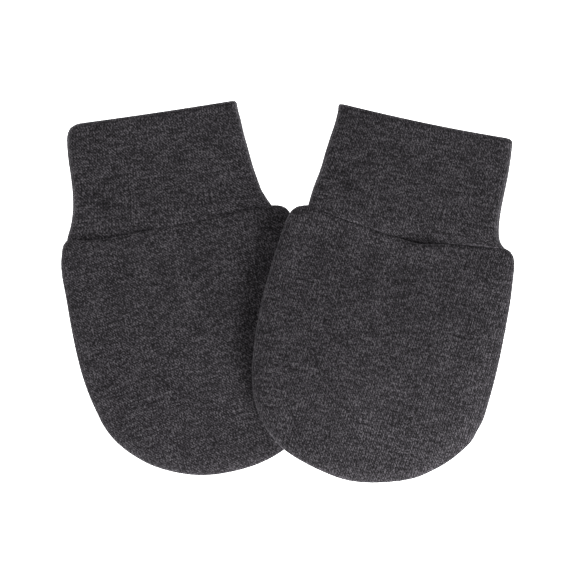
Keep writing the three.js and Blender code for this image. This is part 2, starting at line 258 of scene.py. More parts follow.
# Small lengths and shares of the cloth's form
PANEL_GAP = 0.03  # between a front and a back panel where they are sewn
LEAST_DIP = 0.5  # the dip of the body at the seam where the groove is shallowest
LEAST_PUFF = 0.2  # the share of the puff that stays there
FOLD_MARGIN = 8.0  # a body's folds fade out over this distance from the sewn edge
DEEPEST = 1.4  # the body swells no more past a groove of this depth share
CUFF_DEEPEST = 1.1  # and the cuff dips no more past this one
LEAST_TUCK = 0.3  # the share of the roll's tuck that stays where the groove is shallowest
SIDE_FADE = 2.0  # the tuck fades out over this distance from the mouth's ends
TUCK_CLEAR = 0.06  # between the roll's tuck and the cuff under it
END_FADE = 0.05  # the cuff's own tuck fades out over this share of its width
RIM_FADE = 0.12  # a cuff's folds fade out over this share of its width
HEM_FADE = (1.0, 6.0)  # and grow between these distances from the wrist
FOLD_RISE = 0.6  # and show only where the cuff's side has rounded up by this share
BACK_END = 0.02  # the inside's rings end this share short of the wrist
CUFF_FLATNESS = 0.93  # a flattened cuff's width as a share of the seam's


class ClothSizes(bpy.types.PropertyGroup):
    """Sizes of the cut, the seams and the way the cloth lies"""

    panel_wall: FloatProperty(
        name="Panel wall", description="Thickness of the body's knit, in mm", default=2.2, min=0.5)
    cuff_wall: FloatProperty(
        name="Cuff wall", description="Thickness of the cuff's knit folded double, in mm",
        default=2.3, min=0.5)
    body_thick: FloatProperty(
        name="Body thickness", description="Height of the body as it lies, in mm", default=5.6)
    edge_thick: FloatProperty(
        name="Edge thickness", description="Height of the sewn edge, in mm", default=5.2)
    edge_round: FloatProperty(
        name="Edge round", description="How far in the sewn edge rounds off, in mm", default=5.0)
    edge_tuck: FloatProperty(
        name="Edge tuck", description="Angle by which the edge turns in below its widest line",
        default=math.radians(40), subtype="ANGLE")
    puff: FloatProperty(
        name="Puff", description="How much the body swells beside the roll, in mm", default=1.0)
    puff_at: FloatProperty(
        name="Puff place", description="Distance of that swelling from the seam, in mm", default=1.5)
    puff_reach: FloatProperty(
        name="Puff reach", description="Half width of that swelling, in mm", default=5.5)
    roll: FloatProperty(
        name="Roll", description="Width of the roll over the cuff, in mm", default=1.1)
    roll_tuck: FloatProperty(
        name="Roll tuck", description="Angle by which the roll turns in over the cuff",
        default=math.radians(16), subtype="ANGLE")
    seam_low: FloatProperty(
        name="Seam height", description="Height of the cloth where body and cuff are sewn, in mm",
        default=4.4)
    under_groove: FloatProperty(
        name="Under groove", description="Depth of the underside's groove at the seam, in mm", default=0.5)
    under_reach: FloatProperty(
        name="Under reach", description="Half width of that groove, in mm", default=2.0)
    cuff_thick: FloatProperty(
        name="Cuff thickness", description="Height of the cuff as it lies, in mm", default=5.2)
    cuff_dip_reach: FloatProperty(
        name="Cuff dip reach", description="Distance over which the cuff dips to the seam, in mm",
        default=6.0)
    mouth_lift: FloatProperty(
        name="Mouth lift", description="How far the wrist opening gapes, in mm", default=0.5)
    mouth_reach: FloatProperty(
        name="Mouth reach", description="How far in the gape reaches, in mm", default=14.0)
    lap_top: FloatProperty(
        name="Lap height", description="Height the left mitten is pressed to under the right, in mm",
        default=4.6)
    lap_press: FloatProperty(
        name="Lap press", description="Distance over which it is pressed down, in mm", default=13.0)
    lap_clear: FloatProperty(
        name="Lap clearance", description="Gap between the two mittens, in mm", default=0.3)
    lap_ramp: FloatProperty(
        name="Lap ramp", description="Distance over which the right mitten comes down, in mm", default=60.0)
    edge_curl: FloatProperty(
        name="Edge curl", description="How much more its lapping edge stands up, in mm", default=1.2)
    curl_reach: FloatProperty(
        name="Curl reach", description="Distance over which that edge settles, in mm", default=9.0)


class KnitFinish(bpy.types.PropertyGroup):
    """Size and colours of the knit"""

    body_wale: FloatProperty(
        name="Body wale", description="Distance between the body's wales, in mm", default=0.84)
    cuff_wale: FloatProperty(
        name="Cuff wale", description="Distance between the cuff's wales, in mm", default=0.9)
    course: FloatProperty(
        name="Course", description="Distance between courses, in mm", default=0.97)
    relief: FloatProperty(
        name="Relief", description="Depth of the stitches, in mm", default=0.13)
    dark: FloatVectorProperty(
        name="Dark yarn", description="Colour of the darkest fibres", subtype="COLOR", size=3,
        default=(0.0026, 0.0022, 0.0027), min=0.0, max=1.0)
    middle: FloatVectorProperty(
        name="Middle yarn", description="Colour of most of the fibres", subtype="COLOR", size=3,
        default=(0.0218, 0.0195, 0.0230), min=0.0, max=1.0)
    pale: FloatVectorProperty(
        name="Pale yarn", description="Colour of the pale fibres", subtype="COLOR", size=3,
        default=(0.0955, 0.0892, 0.0978), min=0.0, max=1.0)
    sheen: FloatProperty(
        name="Sheen", description="Strength of the nap's sheen", default=0.14, min=0.0, max=1.0)
    nap_density: FloatProperty(
        name="Nap density", description="Loose fibres to each square millimetre", default=0.4, min=0.0)
    nap_length: FloatProperty(
        name="Nap length", description="Length of a loose fibre, in mm", default=0.9)
    nap_thickness: FloatProperty(
        name="Nap thickness", description="Thickness of a loose fibre, in mm", default=0.035)
    nap_seed: IntProperty(
        name="Nap seed", description="Another number strews the fibres differently", default=7)


class StageLook(bpy.types.PropertyGroup):
    """Floor, lights and camera"""

    floor_colour: FloatVectorProperty(
        name="Floor", description="Colour of the floor", subtype="COLOR", size=3,
        default=(0.92, 0.92, 0.92), min=0.0, max=1.0)
    floor_glow: FloatProperty(
        name="Floor glow", description="Light that the floor gives off by itself", default=1.9)
    lights: FloatProperty(
        name="Lights", description="Share of the soft lights' full power", default=1.0, min=0.0)
    sky: FloatProperty(
        name="Fill", description="Strength of the even light all round", default=0.58)
    lens: FloatProperty(
        name="Lens", description="Focal length, in mm", default=150.0)


def smooth_line(points, steps=24):
    """A centripetal Catmull-Rom curve through points, as a fine run of places."""
    points = np.asarray(points, float)
    ends = 2 * points[0] - points[1], 2 * points[-1] - points[-2]
    points = np.vstack([ends[0], points, ends[1]])
    share = np.linspace(0, 1, steps, endpoint=False)[:, None]
    square, cube = share**2, share**3
    runs = []
    for before, start, end, after in zip(points, points[1:], points[2:], points[3:]):
        spans = (before, start), (start, end), (end, after)
        t0, t1, t2 = (math.sqrt(np.linalg.norm(b - a)) for a, b in spans)
        leave = end - start + t1 * ((start - before) / t0 - (end - before) / (t0 + t1))
        arrive = end - start + t1 * ((after - end) / t2 - (after - start) / (t1 + t2))
        runs.append(
            (2 * cube - 3 * square + 1) * start
            + (cube - 2 * square + share) * leave
            + (3 * square - 2 * cube) * end
            + (cube - square) * arrive
        )
    return np.vstack([*runs, points[-2:-1]])


def column_of(rows, place, value):
    """A table's column as a smooth function of its place column."""
    line = smooth_line([(getattr(row, place), getattr(row, value)) for row in rows])
    return lambda at: np.interp(at, line[:, 0], line[:, 1])


def smoothstep(value, low, high):
    share = np.clip((np.asarray(value, float) - low) / (high - low), 0, 1)
    return share * share * (3 - 2 * share)


def lerp(start, end, share):
    return start + (end - start) * share


def quarter_round(distance, width):
    """The height share of a quarter round at a distance in from its edge."""
    out = 1 - np.clip(distance / width, 0, 1)
    return np.sqrt(1 - out * out)


def distance_to(line, places):
    """Each place's distance to a run of points."""
    start, run = line[:-1], np.diff(line, axis=0)
    length = np.maximum((run * run).sum(1), 1e-12)
    nearest = np.full(len(places), np.inf)
    for (x, y), (dx, dy), square in zip(start, run, length):
        across, along = places[:, 0] - x, places[:, 1] - y
        share = np.clip((across * dx + along * dy) / square, 0, 1)
        nearest = np.minimum(nearest, np.hypot(across - share * dx, along - share * dy))
    return nearest


def distance_outside(outline, places):
    """The distance to a closed outline, negative inside it."""
    closed = np.vstack([outline, outline[:1]])
    inside = np.zeros(len(places), bool)
    for (ax, ay), (bx, by) in zip(closed, closed[1:]):
        if ay == by:
            continue
        reach = ax + (places[:, 1] - ay) / (by - ay) * (bx - ax)
        inside ^= ((ay > places[:, 1]) != (by > places[:, 1])) & (places[:, 0] < reach)
    distance = distance_to(closed, places)
    return np.where(inside, -distance, distance)


def outline_of(mitten):
    """A body's outline from the left end of the seam, round the finger end, to the right end."""
    first, last = mitten["seam"][0], mitten["seam"][-1]
    left = [(first.across, first.along)]
    left += [(-row.left_across, row.left_along) for row in mitten["shoulders"]]
    left += [(-row.left, row.along) for row in mitten["sides"]]
    right = [(last.across, last.along)]
    right += [(row.right_across, row.right_along) for row in mitten["shoulders"]]
    right += [(row.right, row.along) for row in mitten["sides"]]
    return smooth_line([*left, mitten["tip"], *reversed(right)])


def at_length(line, lengths):
    """The places at given lengths along a run of points."""
    travelled = np.concatenate([[0], np.cumsum(np.linalg.norm(np.diff(line, axis=0), axis=1))])
    return np.column_stack([np.interp(lengths, travelled, line[:, k]) for k in range(line.shape[1])])


def length_of(line):
    return float(np.linalg.norm(np.diff(line, axis=0), axis=1).sum())


def on_surface(origin, tilt, places):
    """Places in a tilted mitten's frame, seen on the surface it lies on."""
    turn = math.radians(tilt)
    across, along = places[..., 0], places[..., 1]
    x = across * math.cos(turn) + along * math.sin(turn)
    y = across * math.sin(turn) - along * math.cos(turn)
    return np.stack([x + origin[0], y + origin[1]], axis=-1)


def laid_outline(mitten):
    return on_surface(mitten["origin"], mitten["tilt"], outline_of(mitten))[::3]


def lift_at(mitten, surface, sizes):
    """How far places are raised: the right mitten lies on the left one and comes down beside it."""
    if mitten is LEFT_MITTEN:
        return np.zeros(len(surface))
    beside = distance_outside(laid_outline(LEFT_MITTEN), surface)
    in_from_edge = -distance_outside(laid_outline(RIGHT_MITTEN), surface)
    curl = sizes.edge_curl * (1 - smoothstep(in_from_edge, 0, sizes.curl_reach))
    return (sizes.lap_top + sizes.lap_clear + curl) * (1 - smoothstep(beside, 0, sizes.lap_ramp))


def press_at(mitten, surface, sizes):
    """How far places are pressed down by the mitten that lies on them, from 0 to 1."""
    if mitten is RIGHT_MITTEN:
        return np.zeros(len(surface))
    return 1 - smoothstep(distance_outside(laid_outline(RIGHT_MITTEN), surface), 0, sizes.lap_press)


def folds_at(folds, places):
    """The height that the listed ridges and troughs add."""
    height = np.zeros(len(places))
    for fold in folds:
        turn = math.radians(fold.turn)
        across, along = places[:, 0] - fold.across, places[:, 1] - fold.along
        down = across * math.cos(turn) + along * math.sin(turn)
        beside = along * math.cos(turn) - across * math.sin(turn)
        height += fold.height * np.exp(-((down / fold.length) ** 2) - (beside / fold.width) ** 2)
    return height


def body_rows(mitten, sizes):
    """A body's grid of places, from the outline in to the middle line, round from seam to seam.

    Returns the grid, the outward direction at each place, and the round's angle of each column.
    """
    outline = outline_of(mitten)
    half = length_of(outline) / 2
    rolls = sizes.roll * np.linspace(0, 1, ROLL_STEPS) ** ROLL_BUNCH
    rest = np.arange(sizes.roll + ROW_STEP, half - ROW_STEP / 2, ROW_STEP)
    stops = np.concatenate([rolls, rest, [half]])
    left, right = at_length(outline, stops), at_length(outline, 2 * half - stops)
    seam_at = column_of(mitten["seam"], "across", "along")
    turns = np.linspace(-sizes.edge_tuck, math.pi / 2, ROUND_TURNS + 3)
    inset = sizes.edge_round * (1 - np.cos(turns))
    widest = max(np.abs(outline[:, 0])) - sizes.edge_round
    inner = np.linspace(0, 1, int(widest / COLUMN_STEP))[1:]

    def straight(i, across):
        width = max(right[i, 0] - left[i, 0], 1e-6)
        return lerp(left[i, 1], right[i, 1], np.clip((across - left[i, 0]) / width, 0, 1))

    def row(i, side):
        outer = (left, right)[side][i]
        depth = (left[i, 1] + right[i, 1]) / 2
        fanned = depth > FAN_ALONG
        straight_middle = (left[i, 0] + right[i, 0]) / 2, depth
        middle = np.array((mitten["tip"][0], FAN_ALONG) if fanned else straight_middle)
        length = np.linalg.norm(middle - outer)
        steps = np.concatenate([inset, lerp(inset[-1], length, inner)])
        across = lerp(outer[0], middle[0], steps / length)
        if fanned:
            along = lerp(outer[1], middle[1], steps / length)
        else:
            place = np.clip(across, left[0, 0], right[0, 0])
            bow = seam_at(place) - straight(0, place)
            along = straight(i, across) + (1 - smoothstep(depth, 0, BOW_FADE)) * bow
        outward = np.tile((outer - middle) / length, (len(steps), 1))
        return np.column_stack([across, along]), outward

    sweep = [(i, 0) for i in range(len(stops))] + [(i, 1) for i in reversed(range(len(stops) - 1))]
    rows = [row(i, side) for i, side in sweep]
    grid = np.array([places for places, _ in rows])
    outward = np.array([direction for _, direction in rows])
    angles = np.concatenate([turns, np.full(len(inner), math.pi / 2)])
    return grid, outward, angles


def tucked(mitten, grid, sizes):
    """Adds the rows that turn in under the roll, at both ends of the grid."""
    depth_at = column_of(mitten["seam"], "across", "depth")
    turns = np.linspace(-sizes.roll_tuck, 0, TUCK_STEPS + 1)[:-1]
    in_from_side = np.minimum(np.linalg.norm(grid[:1] - grid[:1, :1], axis=2) / SIDE_FADE, 1)[0]
    extra = []
    for turn in turns:
        for row, places in ((0, grid[0]), (-1, grid[-1])):
            share = in_from_side * np.clip(depth_at(places[:, 0]), LEAST_TUCK, 1)
            reach = sizes.roll * (1 - math.cos(turn)) * share
            extra.append((row, places + np.column_stack([np.zeros_like(reach), reach])))
    first = [places for row, places in extra if row == 0]
    last = [places for row, places in extra if row == -1]
    return np.array([*first, *grid, *reversed(last)]), turns


def lining_grid(grid, tuck, roll_rows):
    """The inside's places: like the outside's, but even between the sewn end and the roll's far side."""
    inside = grid.copy()
    reach = tuck + roll_rows
    for ends in (inside, inside[::-1]):
        start, end = ends[0].copy(), ends[reach].copy()
        for i in range(reach):
            ends[i, 1:] = lerp(start, end, i / reach)[1:]
    return inside


def edge_excess(distance, width, height):
    """How much longer the cloth is round the edge than its place in from the outline says."""
    turns = np.linspace(0, math.pi / 2, 40)
    round_x, round_y = width * (1 - np.cos(turns)), height * np.sin(turns)
    arc = np.concatenate([[0], np.cumsum(np.hypot(np.diff(round_x), np.diff(round_y)))])
    return arc[-1] - width - np.interp(distance, round_x, arc - round_x)


def body_layers(mitten, sizes):
    """The four surfaces of a body, each as a grid of points, and the grid's places along the grain."""
    plain, outward, angles = body_rows(mitten, sizes)
    grid, turns = tucked(mitten, plain, sizes)
    outward = np.concatenate([outward[:1]] * TUCK_STEPS + [outward] + [outward[-1:]] * TUCK_STEPS)
    shape = grid.shape[:2]
    lining = lining_grid(grid, TUCK_STEPS, LINING_ROLL_ROWS)
    outline = outline_of(mitten)
    seam_across = np.linspace(mitten["seam"][0].across, mitten["seam"][-1].across, SEAM_PLACES)
    seam = np.column_stack([seam_across, column_of(mitten["seam"], "across", "along")(seam_across)])
    depth_at = column_of(mitten["seam"], "across", "depth")

    def heights(places, rolled):
        flat = places.reshape(-1, 2)
        surface = on_surface(mitten["origin"], mitten["tilt"], flat)
        from_side = distance_to(outline, flat).reshape(shape)
        from_seam = distance_to(seam, flat).reshape(shape)
        depth = np.clip(depth_at(places[..., 0]), 0, DEEPEST)
        tuck = math.sin(sizes.edge_tuck)
        edge = (quarter_round(from_side, sizes.edge_round) + tuck) / (1 + tuck)
        below = angles < 0
        edge[:, below] = (np.sin(angles[below]) + tuck) / (1 + tuck)
        roll_tuck = math.sin(sizes.roll_tuck)
        rise = (quarter_round(from_seam, sizes.roll) + roll_tuck) / (1 + roll_tuck)
        if rolled:
            for i, turn in enumerate(turns):
                rise[[i, -1 - i]] = (math.sin(turn) + roll_tuck) / (1 + roll_tuck)
        swell = np.exp(-(((from_seam - sizes.puff_at) / sizes.puff_reach) ** 2))
        puff = sizes.puff * lerp(LEAST_PUFF, 1, depth) * swell
        # Where the groove is shallow, the body comes down to the cuff's height.
        step = (sizes.body_thick - sizes.cuff_thick) * np.clip(1 - depth, 0, 1)
        puff = puff - step * np.exp(-((from_seam / sizes.puff_reach) ** 2))
        folds = folds_at((mitten["dome"], *mitten["body_folds"]), flat).reshape(shape)
        full = sizes.body_thick + puff + folds * smoothstep(from_side, 0, FOLD_MARGIN)
        low = lerp(full - LEAST_DIP, sizes.seam_low, np.clip(depth, 0, 1))
        free = lerp(low, full, rise)
        press = press_at(mitten, surface, sizes).reshape(shape)
        top = lerp(free, np.minimum(free, sizes.lap_top), press)
        under = sizes.under_groove * (1 - smoothstep(from_seam, 0, sizes.under_reach))
        middle = sizes.edge_thick / 2
        return {
            "lift": lift_at(mitten, surface, sizes).reshape(shape),
            "middle": middle,
            "top": lerp(middle, top, edge),
            "under": lerp(middle, under, edge),
        }

    out, inner = heights(grid, True), heights(lining, False)
    apart = PANEL_GAP / 2
    front_in = np.maximum(inner["middle"], inner["top"] - sizes.panel_wall) + apart
    back_in = np.minimum(inner["middle"], inner["under"] + sizes.panel_wall) - apart
    levels = {
        "front_out": (grid, out, out["top"] + apart),
        "front_in": (lining, inner, front_in),
        "back_in": (lining, inner, back_in),
        "back_out": (grid, out, np.maximum(out["under"] - apart, 0)),
    }
    layers = {}
    for name, (places, height, level) in levels.items():
        surface = on_surface(mitten["origin"], mitten["tilt"], places)
        layers[name] = np.concatenate([surface, (height["lift"] + level)[..., None]], axis=2)
    for wanted, edge in (("front_in", "front_out"), ("back_in", "back_out")):
        layers[wanted][:, 0] = layers[edge][:, 0]
    spread = edge_excess(distance_to(outline, grid.reshape(-1, 2)).reshape(shape), sizes.edge_round,
                         sizes.edge_thick / 2)
    turn = math.radians(mitten["grain_tilt"])
    flat = grid + outward * spread[..., None]
    grain = np.stack([
        flat[..., 0] * math.cos(turn) + flat[..., 1] * math.sin(turn),
        flat[..., 1] * math.cos(turn) - flat[..., 0] * math.sin(turn),
    ], axis=-1)
    return layers, grain


def grid_quads(rows, columns, offset=0, turned=False):
    """The faces of a grid of corners."""
    ids = offset + np.arange(rows * columns).reshape(rows, columns)
    quads = np.stack([ids[:-1, :-1], ids[1:, :-1], ids[1:, 1:], ids[:-1, 1:]], axis=-1).reshape(-1, 4)
    return quads[:, ::-1] if turned else quads


def cloth_mesh(name, corners, grain, quads, outer):
    """One closed surface from grid faces: corners that meet are shared, and collapsed faces are dropped.

    Outer says of each grid face whether it lies on the cloth's outside, where the nap grows.
    """
    keys = np.round(corners / WELD).astype(np.int64)
    _, kept, welded = np.unique(keys, axis=0, return_index=True, return_inverse=True)
    welded = welded.reshape(-1)
    faces, face_corners, napped = [], [], []
    for quad, is_outer in zip(quads.tolist(), outer.tolist()):
        face, used = [], []
        for corner in quad:
            joined = int(welded[corner])
            if joined not in face:
                face.append(joined)
                used.append(corner)
        if len(face) > 2:
            faces.append(face)
            face_corners.extend(used)
            napped.append(is_outer)
    mesh = bpy.data.meshes.new(name)
    mesh.from_pydata((corners[kept] * MM).tolist(), [], faces)
    layer = mesh.uv_layers.new(name="Grain")
    layer.uv.foreach_set("vector", (grain[face_corners] * MM).astype(np.float32).ravel())
    mesh.attributes.new("Outer", "BOOLEAN", "FACE").data.foreach_set("value", napped)
    mesh.shade_smooth()
    return mesh


def panel_mesh(name, upper, lower, grain, side):
    """A panel between its upper and lower surface, closed at the mouth."""
    rows, columns = upper.shape[:2]
    count = rows * columns
    corners = np.concatenate([upper.reshape(-1, 3), lower.reshape(-1, 3)])
    ids = np.arange(2 * count).reshape(2, rows, columns)
    ends = []
    for row, turned in ((0, False), (-1, True)):
        over, beneath = ids[0, row], ids[1, row]
        strip = np.column_stack([over[:-1], over[1:], beneath[1:], beneath[:-1]])
        ends.append(strip[:, ::-1] if turned else strip)
    sheets = grid_quads(rows, columns), grid_quads(rows, columns, count, turned=True)
    quads = np.concatenate([*sheets, *ends])
    first = 0 if side == "front" else len(sheets[0])
    outer = np.zeros(len(quads), bool)
    outer[first : first + len(sheets[0])] = True
    places = np.tile(grain.reshape(-1, 2), (2, 1))
    return cloth_mesh(name, corners, places, quads, outer)


def tube_corners(step, width):
    """Corners round a flattened tube: (share across, angle from the side, up or down)."""
    turns = np.linspace(0, math.pi / 2, ROUND_TURNS, endpoint=False)
    columns = np.linspace(0, 1, int(width / step))
    top = [(0.0, turn, 1) for turn in turns]
    top += [(share, math.pi / 2, 1) for share in columns]
    top += [(1.0, turn, 1) for turn in turns[::-1]]
    under = [(share, turn, -1) for share, turn, _ in top[-2:0:-1]]
    return np.array(top + under)


def outside_rings(mitten):
    """How many rings lie on the cuff's outside."""
    return int(-mitten["wrist"] / CUFF_STEP)


def cuff_rings(sizes, mitten):
    """Rings up the outside to the seam, back inside, and round the wrist's fold.

    Columns are the share of the way to the seam, how far into the wall, and how far past the first ring.
    """
    count = outside_rings(mitten)
    out = np.linspace(0, 1, count) ** RING_BUNCH
    back = np.linspace(1, BACK_END, count // 2)
    turns = np.linspace(math.pi, 0, FOLD_TURNS + 1)[1:-1]
    rings = [(share, 0.0, 0.0) for share in out]
    rings += [(share, 1.0, 0.0) for share in back]
    rings += [(0.0, (1 - math.cos(turn)) / 2, math.sin(turn) * sizes.cuff_wall / 2) for turn in turns]
    return rings


def along_rings(points, outer_rings):
    """Each point's distance along the cloth from the first ring, negative round the fold and inside."""
    steps = np.linalg.norm(points - np.roll(points, 1, axis=0), axis=2)
    travelled = np.cumsum(steps, axis=0)
    places = travelled - steps[0]
    places[outer_rings:] -= travelled[-1]
    return places


def cuff_tube(mitten, sizes):
    """The cuff's rings of points, closed both ways, and their places along the grain."""
    widths = {side: column_of(mitten["cuff"], "along", side) for side in ("left", "right")}
    turn = math.radians(mitten["tilt"] - mitten["cuff_tilt"])
    tuck_reach = sizes.roll * (1 - math.cos(sizes.roll_tuck)) - TUCK_CLEAR
    seam = []
    for row in mitten["seam"]:
        across = row.across * math.cos(turn) + row.along * math.sin(turn)
        along = row.along * math.cos(turn) - row.across * math.sin(turn)
        seam.append(Seam(across, along, row.depth))
    seam_at = column_of(seam, "across", "along")
    depth_at = column_of(seam, "across", "depth")
    middle = sizes.cuff_thick / 2
    start = mitten["wrist"] + sizes.cuff_wall / 2
    shares, angles, ups = tube_corners(CUFF_STEP, seam[-1].across - seam[0].across).T
    points, grain = [], []
    for ring_share, inwards, beyond in cuff_rings(sizes, mitten):
        ends = [lerp(start, seam[k].along, ring_share) - beyond for k in (0, -1)]
        round_off = middle - inwards * sizes.cuff_wall
        inset = round_off * (1 - np.cos(angles))
        left = -(widths["left"](ends[0]) - inwards * sizes.cuff_wall) + round_off
        right = widths["right"](ends[1]) - inwards * sizes.cuff_wall - round_off
        side = np.where(shares < 0.5, -1, 1)
        across = lerp(left, right, shares) + side * (round_off - inset)
        in_share = np.clip((across - seam[0].across) / (seam[-1].across - seam[0].across), 0, 1)
        depth = np.clip(depth_at(across), 0, CUFF_DEEPEST)
        from_ends = smoothstep(np.minimum(in_share, 1 - in_share), 0, END_FADE)
        seam_end = seam_at(across) + tuck_reach * from_ends * np.clip(depth, LEAST_TUCK, 1)
        opened = 1 - (2 * shares - 1) ** 2
        along = lerp(start, seam_end, ring_share) - beyond + mitten["wrist_sag"] * opened * (1 - ring_share)
        places = np.column_stack([across, along])
        surface = on_surface(mitten["origin"], mitten["cuff_tilt"], places)
        mouth = sizes.mouth_lift * opened * (1 - smoothstep(along - mitten["wrist"], 0, sizes.mouth_reach))
        to_seam = np.maximum(seam_end - along, 0)
        near = (1 - inwards) * (1 - smoothstep(to_seam, 0, sizes.cuff_dip_reach))
        folds = folds_at(mitten["cuff_folds"], places) * smoothstep(np.abs(np.sin(angles)), FOLD_RISE, 1)
        from_rim = smoothstep(in_share, 0, RIM_FADE) * smoothstep(1 - in_share, 0, RIM_FADE)
        folds = folds * from_rim * (1 - inwards) * smoothstep(along - mitten["wrist"], *HEM_FADE)
        dip = (sizes.cuff_thick - sizes.seam_low) * depth
        over = round_off + mouth - dip * near + folds
        beneath = round_off - sizes.under_groove * near
        reach = np.where(ups > 0, over, beneath)
        height = middle + ups * reach * np.sin(angles) + lift_at(mitten, surface, sizes)
        ring = np.column_stack([surface, height])
        points.append(ring)
        loop = np.vstack([ring, ring[:1]])
        around = np.concatenate([[0], np.cumsum(np.linalg.norm(np.diff(loop, axis=0), axis=1))])
        grain.append(np.column_stack([around / around[-1], np.full(len(loop), mitten["wrist"])]))
    width = CUFF_FLATNESS * (seam[-1].across - seam[0].across)
    girth = (2 * width + math.pi * middle) / mitten["cuff_stretch"]
    points, grain = np.array(points), np.array(grain) * (girth, 1)
    travelled = along_rings(points, outside_rings(mitten))
    grain[..., 1] += np.concatenate([travelled, travelled[:, :1]], axis=1)
    return points, grain


def cuff_mesh(name, points, grain, outer_rings):
    """The cuff's closed tube of rings."""
    rings, around = points.shape[:2]
    wrapped = np.concatenate([points, points[:, :1]], axis=1)
    wrapped = np.concatenate([wrapped, wrapped[:1]])
    places = np.concatenate([grain, grain[:1]])
    quads = grid_quads(rings + 1, around + 1)
    outer = np.arange(len(quads)) < outer_rings * around
    return cloth_mesh(name, wrapped.reshape(-1, 3), places.reshape(-1, 2), quads, outer)


class NodeMaker:
    """Adds nodes to a tree and feeds their sockets, by value or by link."""

    def __init__(self, tree):
        self.tree = tree

    def add(self, kind, feeds=None, **settings):
        node = self.tree.nodes.new(kind)
        for name, value in settings.items():
            setattr(node, name, value)
        for socket, value in (feeds or {}).items():
            self.feed(node.inputs[socket], value)
        return node

    def feed(self, socket, value):
        if isinstance(value, bpy.types.NodeSocket):
            self.tree.links.new(value, socket)
        else:
            socket.default_value = value

    def math(self, operation, *values):
        return self.add("ShaderNodeMath", dict(enumerate(values)), operation=operation).outputs[0]

    def noise(self, place, scale, detail=1.0, roughness=0.5):
        feeds = {"Vector": place, "Scale": scale, "Detail": detail, "Roughness": roughness}
        return self.add("ShaderNodeTexNoise", feeds, noise_dimensions="2D")


def knit_group():
    """Interlock knit in heather yarn: columns of slanted legs, with fibres that differ in shade."""
    group = bpy.data.node_groups.new("Heather interlock", "ShaderNodeTree")
    sockets = group.interface
    sockets.new_socket("Place", in_out="INPUT", socket_type="NodeSocketVector")
    for name in ("Wale", "Course"):
        sockets.new_socket(name, in_out="INPUT", socket_type="NodeSocketFloat")
    for name in ("Dark", "Middle", "Pale"):
        sockets.new_socket(name, in_out="INPUT", socket_type="NodeSocketColor")
    sockets.new_socket("Color", in_out="OUTPUT", socket_type="NodeSocketColor")
    sockets.new_socket("Relief", in_out="OUTPUT", socket_type="NodeSocketFloat")
    make = NodeMaker(group)
    given = make.add("NodeGroupInput").outputs

    def vector(operation, first, second):
        return make.add("ShaderNodeVectorMath", {0: first, 1: second}, operation=operation).outputs[0]

    # The hand of the cloth is a little uneven, so the grid of stitches wanders.
    wander = make.noise(given["Place"], 220.0, 1.0).outputs["Color"]
    centred = vector("SUBTRACT", wander, (0.5, 0.5, 0.5))
    place = vector("ADD", given["Place"], vector("MULTIPLY", centred, (0.6 * MM, 0.6 * MM, 0.0)))
    apart = make.add("ShaderNodeSeparateXYZ", {0: place}).outputs
    across = make.math("DIVIDE", apart[0], given["Wale"])
    along = make.math("DIVIDE", apart[1], given["Course"])
    wale = make.math("FLOOR", across)
    off_middle = make.math("ABSOLUTE", make.math("SUBTRACT", make.math("FRACT", across), 0.5))
    off_middle = make.math("MULTIPLY", off_middle, 2.0)
    slanted = make.math("ADD", along, make.math("MULTIPLY", off_middle, 0.5))
    course = make.math("FLOOR", slanted)
    off_leg = make.math("SUBTRACT", make.math("MULTIPLY", make.math("FRACT", slanted), 2.0), 1.0)
    leg = make.math("SUBTRACT", 1.0, make.math("MULTIPLY", off_leg, off_leg))
    ridge = make.math("SUBTRACT", 1.0, make.math("POWER", off_middle, 2.2))
    stitch_height = make.math("MULTIPLY", ridge, make.math("ADD", make.math("MULTIPLY", leg, 0.5), 0.5))
    # The yarn's twist shows as a faint hatch across the stitches.
    hatch = make.math("COSINE", make.math("MULTIPLY", make.math("SUBTRACT", across, along), 2 * math.pi))

    # Shades: single fibres, the yarn's tufts, its streaks along a course, whole stitches and wide clouds.
    fibre = make.noise(vector("MULTIPLY", place, (1.15, 1.0, 1.0)), 2250.0, 1.0, 0.55).outputs[0]
    tuft = make.noise(place, 1250.0, 0.0).outputs[0]
    streak = make.noise(vector("MULTIPLY", place, (0.3, 1.2, 1.0)), 700.0, 1.0, 0.5).outputs[0]
    cloud = make.noise(place, 120.0, 1.0, 0.5).outputs[0]
    cell = make.add("ShaderNodeCombineXYZ", {0: wale, 1: course}).outputs[0]
    stitch = make.add("ShaderNodeTexWhiteNoise", {"Vector": cell}, noise_dimensions="2D").outputs[0]
    tone = 0.5
    for shade, weight in ((fibre, 2.1), (tuft, 0.92), (streak, 0.66), (stitch, 0.26), (cloud, 0.25)):
        swing = make.math("MULTIPLY", make.math("SUBTRACT", shade, 0.5), weight)
        tone = make.math("ADD", tone, swing)
    # Painted shade: the tone darkens in the valleys between the stitches and lightens on their tops.
    raised = make.math("MULTIPLY", make.math("SUBTRACT", stitch_height, 0.6), 0.32)
    tone = make.math("ADD", tone, raised)
    tone = make.math("ADD", tone, make.math("MULTIPLY", hatch, 0.16))
    lower = make.add("ShaderNodeMapRange", {0: tone, 1: 0.0, 2: 0.55, 3: 0.0, 4: 1.0}).outputs[0]
    upper = make.add("ShaderNodeMapRange", {0: tone, 1: 0.55, 2: 1.25, 3: 0.0, 4: 1.0}).outputs[0]

    def mixed(share, first, second):
        feeds = {0: share, 6: first, 7: second}
        return make.add("ShaderNodeMix", feeds, data_type="RGBA").outputs[2]

    shade = mixed(upper, mixed(lower, given["Dark"], given["Middle"]), given["Pale"])
    relief = make.math("ADD", stitch_height, make.math("MULTIPLY", fibre, 0.5))
    make.add("NodeGroupOutput", {"Color": shade, "Relief": relief})
    return group


